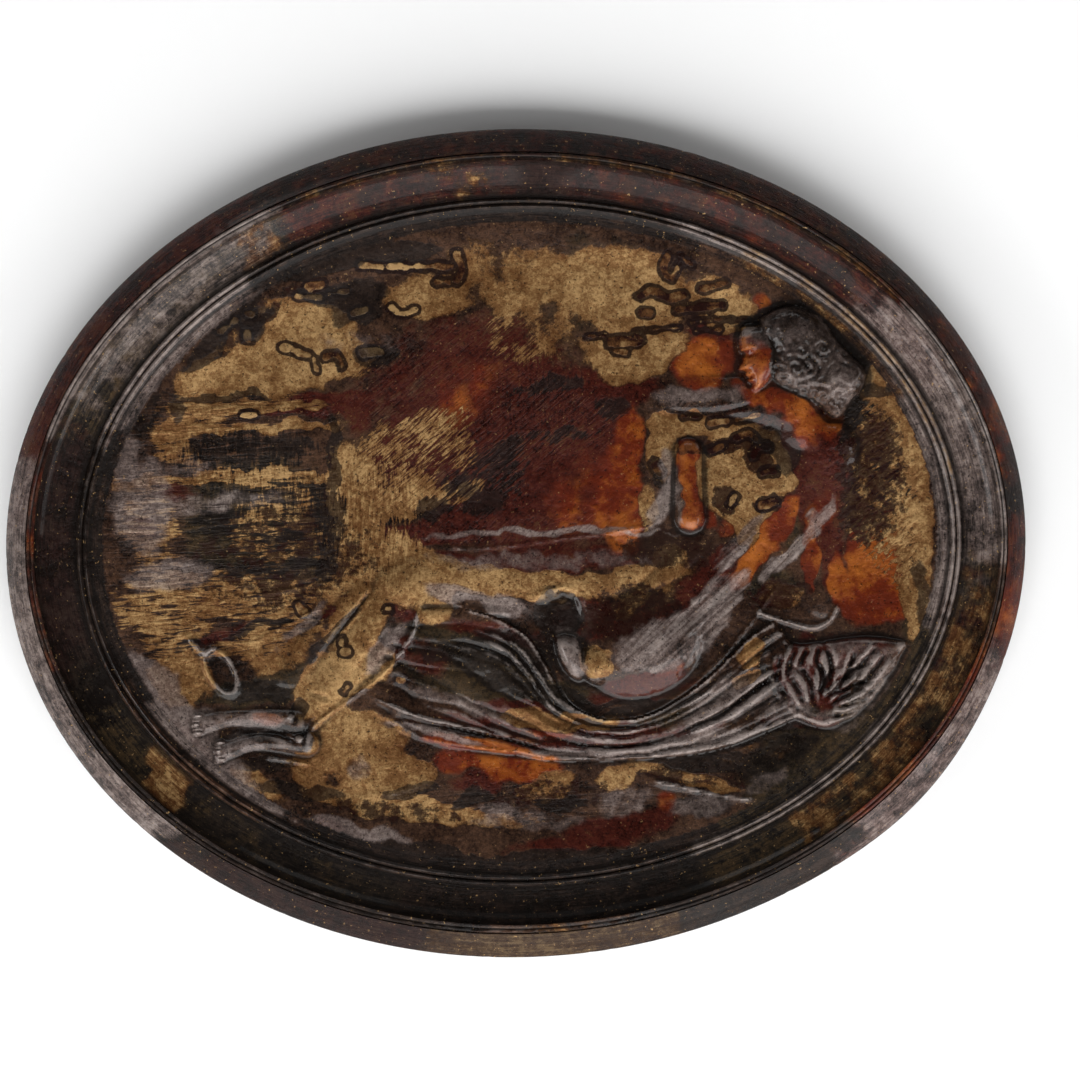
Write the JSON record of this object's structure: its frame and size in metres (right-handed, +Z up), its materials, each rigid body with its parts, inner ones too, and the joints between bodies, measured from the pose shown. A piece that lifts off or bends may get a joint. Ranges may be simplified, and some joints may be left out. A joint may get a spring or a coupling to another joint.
{
  "type": "relief plaque",
  "caption": "Oval cast-bronze wall plaque with a moulded frame around a low-relief scene of a reclining draped figure.",
  "frame": {"origin": "centre of the plaque's flat back, which lies against the wall", "axes": "+X to the viewer's right along the oval's long axis, +Y into the wall, +Z up"},
  "size_m": [0.24, 0.0106, 0.195],
  "materials": {
    "bronze": "cast bronze under a worn red-brown and black lacquer patina, with golden metal where it has rubbed through"
  },
  "bodies": {
    "root": {"plaque": "bronze"}
  },
  "joints": []
}
